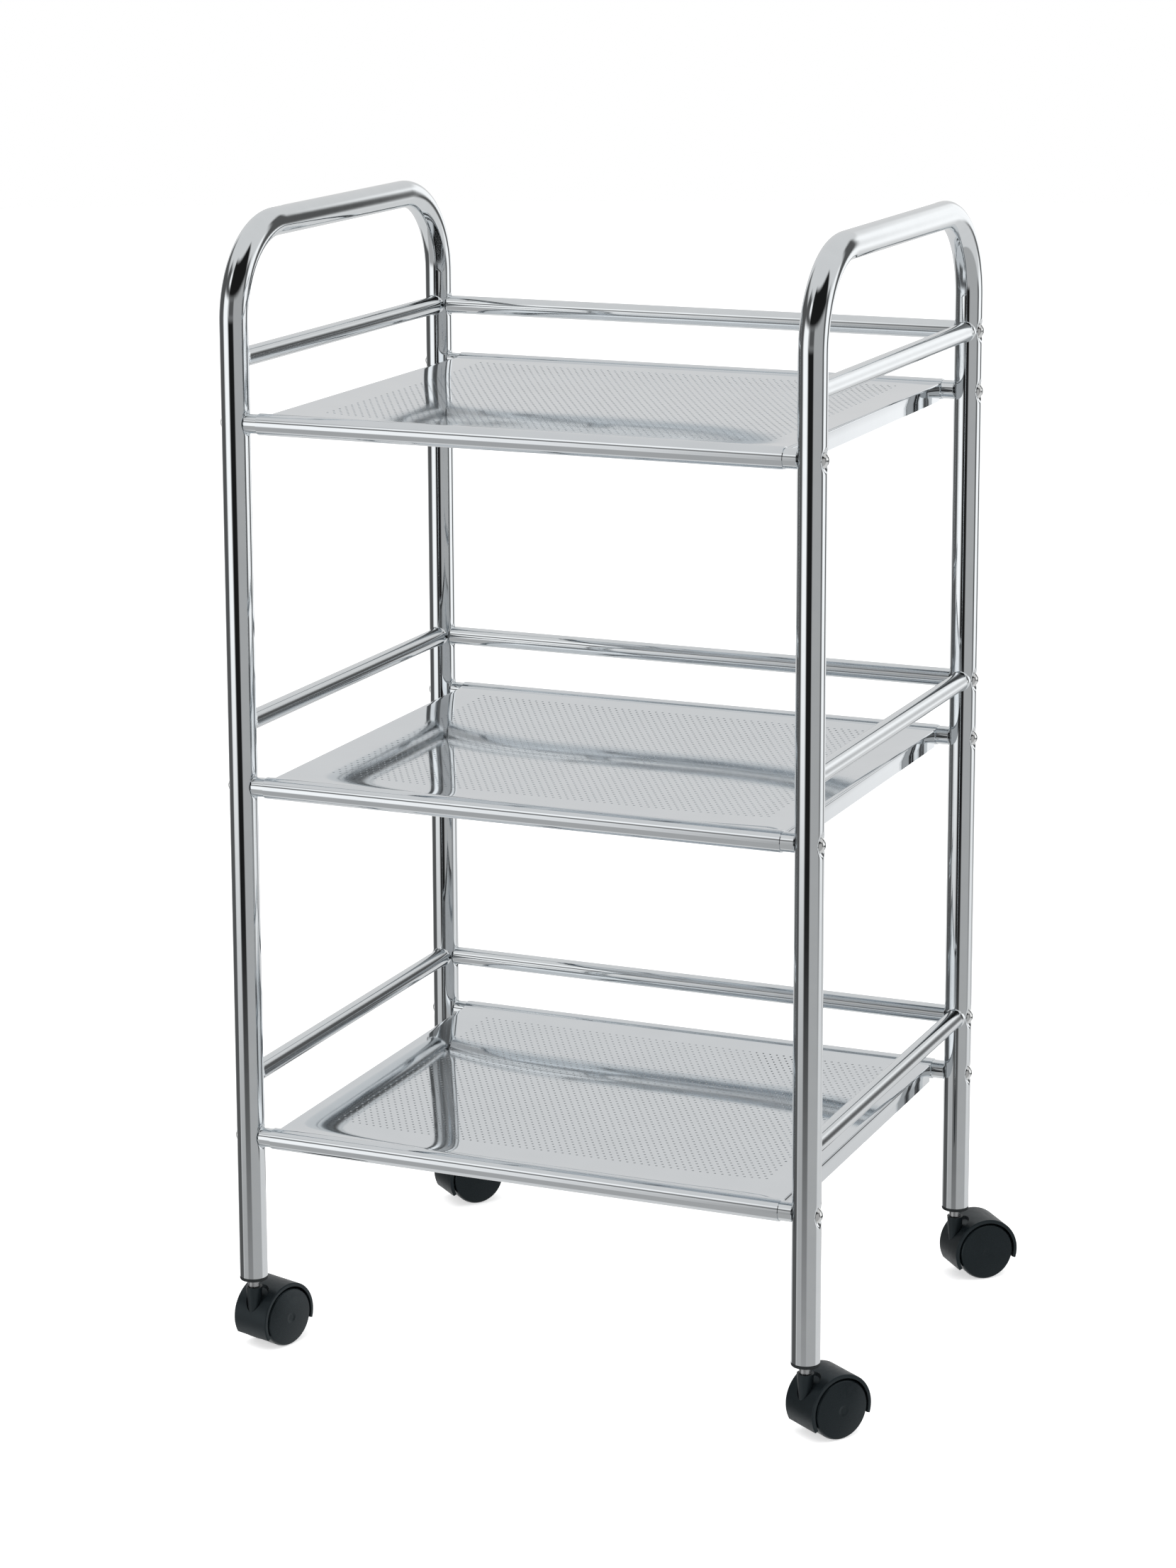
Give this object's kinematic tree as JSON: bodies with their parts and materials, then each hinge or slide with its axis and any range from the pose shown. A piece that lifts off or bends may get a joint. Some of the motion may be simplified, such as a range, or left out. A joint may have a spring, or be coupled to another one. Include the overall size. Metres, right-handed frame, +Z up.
{
  "type": "rolling salon trolley",
  "caption": "Chrome tube trolley with sheet shelves between two hoop-shaped end frames, low guard rails round each shelf and swivelling twin-wheel casters.",
  "frame": {"origin": "on the floor, under the centre of the four leg axes", "axes": "+Z up; -Y the open front, where no rail crosses; +X the right-hand end frame seen from the front"},
  "size_m": [0.5275, 0.4244, 0.897],
  "materials": {
    "chrome_tube": "bright chrome plate on steel tube",
    "chrome_sheet": "bright chrome plate on thin perforated steel sheet",
    "screw_steel": "nickel-plated steel",
    "zinc_steel": "zinc-plated steel",
    "black_plastic": "fine-grained moulded plastic",
    "caster_nylon": "satin moulded nylon",
    "wheel_nylon": "smooth satin nylon"
  },
  "bodies": {
    "root": {"left_hoop": "chrome_tube", "left_rail_bottom": "chrome_tube", "left_rail_middle": "chrome_tube", "left_rail_top": "chrome_tube", "right_hoop": "chrome_tube", "right_rail_bottom": "chrome_tube", "right_rail_middle": "chrome_tube", "right_rail_top": "chrome_tube", "back_rail_bottom": "chrome_tube", "bottom_shelf": "chrome_sheet", "bottom_shelf_front_tube": "chrome_tube", "bottom_shelf_back_tube": "chrome_tube", "back_rail_middle": "chrome_tube", "middle_shelf": "chrome_sheet", "middle_shelf_front_tube": "chrome_tube", "middle_shelf_back_tube": "chrome_tube", "back_rail_top": "chrome_tube", "top_shelf": "chrome_sheet", "top_shelf_front_tube": "chrome_tube", "top_shelf_back_tube": "chrome_tube", "shelf_tube_inserts": "zinc_steel", "back_rail_inserts": "zinc_steel", "front_leg_screws": "screw_steel", "back_leg_screws": "screw_steel", "back_rail_screws": "screw_steel", "front_left_leg_plug": "black_plastic", "front_left_caster_stem": "zinc_steel", "front_left_grip_ring": "zinc_steel", "front_right_leg_plug": "black_plastic", "front_right_caster_stem": "zinc_steel", "front_right_grip_ring": "zinc_steel", "back_left_leg_plug": "black_plastic", "back_left_caster_stem": "zinc_steel", "back_left_grip_ring": "zinc_steel", "back_right_leg_plug": "black_plastic", "back_right_caster_stem": "zinc_steel", "back_right_grip_ring": "zinc_steel"},
    "front_left_caster": {"front_left_caster_housing": "caster_nylon", "front_left_caster_axle": "zinc_steel"},
    "front_left_left_wheel": {"front_left_caster_left_wheel": "wheel_nylon"},
    "front_left_right_wheel": {"front_left_caster_right_wheel": "wheel_nylon"},
    "front_right_caster": {"front_right_caster_housing": "caster_nylon", "front_right_caster_axle": "zinc_steel"},
    "front_right_left_wheel": {"front_right_caster_left_wheel": "wheel_nylon"},
    "front_right_right_wheel": {"front_right_caster_right_wheel": "wheel_nylon"},
    "back_left_caster": {"back_left_caster_housing": "caster_nylon", "back_left_caster_axle": "zinc_steel"},
    "back_left_left_wheel": {"back_left_caster_left_wheel": "wheel_nylon"},
    "back_left_right_wheel": {"back_left_caster_right_wheel": "wheel_nylon"},
    "back_right_caster": {"back_right_caster_housing": "caster_nylon", "back_right_caster_axle": "zinc_steel"},
    "back_right_left_wheel": {"back_right_caster_left_wheel": "wheel_nylon"},
    "back_right_right_wheel": {"back_right_caster_right_wheel": "wheel_nylon"}
  },
  "joints": [
    {"name": "front_left_swivel", "type": "hinge", "parent": "root", "child": "front_left_caster", "pos_m": [-0.231, -0.181, 0.052], "axis": [0, 0, 1], "continuous": true},
    {"name": "front_left_left_wheel_spin", "type": "hinge", "parent": "front_left_caster", "child": "front_left_left_wheel", "pos_m": [-0.22471, -0.16044, 0.0235], "axis": [0.9563, -0.2924, 0], "continuous": true},
    {"name": "front_left_right_wheel_spin", "type": "hinge", "parent": "front_left_caster", "child": "front_left_right_wheel", "pos_m": [-0.22471, -0.16044, 0.0235], "axis": [0.9563, -0.2924, 0], "continuous": true},
    {"name": "front_right_swivel", "type": "hinge", "parent": "root", "child": "front_right_caster", "pos_m": [0.231, -0.181, 0.052], "axis": [0, 0, 1], "continuous": true},
    {"name": "front_right_left_wheel_spin", "type": "hinge", "parent": "front_right_caster", "child": "front_right_left_wheel", "pos_m": [0.24302, -0.16318, 0.0235], "axis": [0.829, -0.5592, 0], "continuous": true},
    {"name": "front_right_right_wheel_spin", "type": "hinge", "parent": "front_right_caster", "child": "front_right_right_wheel", "pos_m": [0.24302, -0.16318, 0.0235], "axis": [0.829, -0.5592, 0], "continuous": true},
    {"name": "back_left_swivel", "type": "hinge", "parent": "root", "child": "back_left_caster", "pos_m": [-0.231, 0.181, 0.052], "axis": [0, 0, 1], "continuous": true},
    {"name": "back_left_left_wheel_spin", "type": "hinge", "parent": "back_left_caster", "child": "back_left_left_wheel", "pos_m": [-0.21718, 0.19747, 0.0235], "axis": [0.766, -0.6428, 0], "continuous": true},
    {"name": "back_left_right_wheel_spin", "type": "hinge", "parent": "back_left_caster", "child": "back_left_right_wheel", "pos_m": [-0.21718, 0.19747, 0.0235], "axis": [0.766, -0.6428, 0], "continuous": true},
    {"name": "back_right_swivel", "type": "hinge", "parent": "root", "child": "back_right_caster", "pos_m": [0.231, 0.181, 0.052], "axis": [0, 0, 1], "continuous": true},
    {"name": "back_right_left_wheel_spin", "type": "hinge", "parent": "back_right_caster", "child": "back_right_left_wheel", "pos_m": [0.24698, 0.19539, 0.0235], "axis": [0.6691, -0.7431, 0], "continuous": true},
    {"name": "back_right_right_wheel_spin", "type": "hinge", "parent": "back_right_caster", "child": "back_right_right_wheel", "pos_m": [0.24698, 0.19539, 0.0235], "axis": [0.6691, -0.7431, 0], "continuous": true}
  ]
}
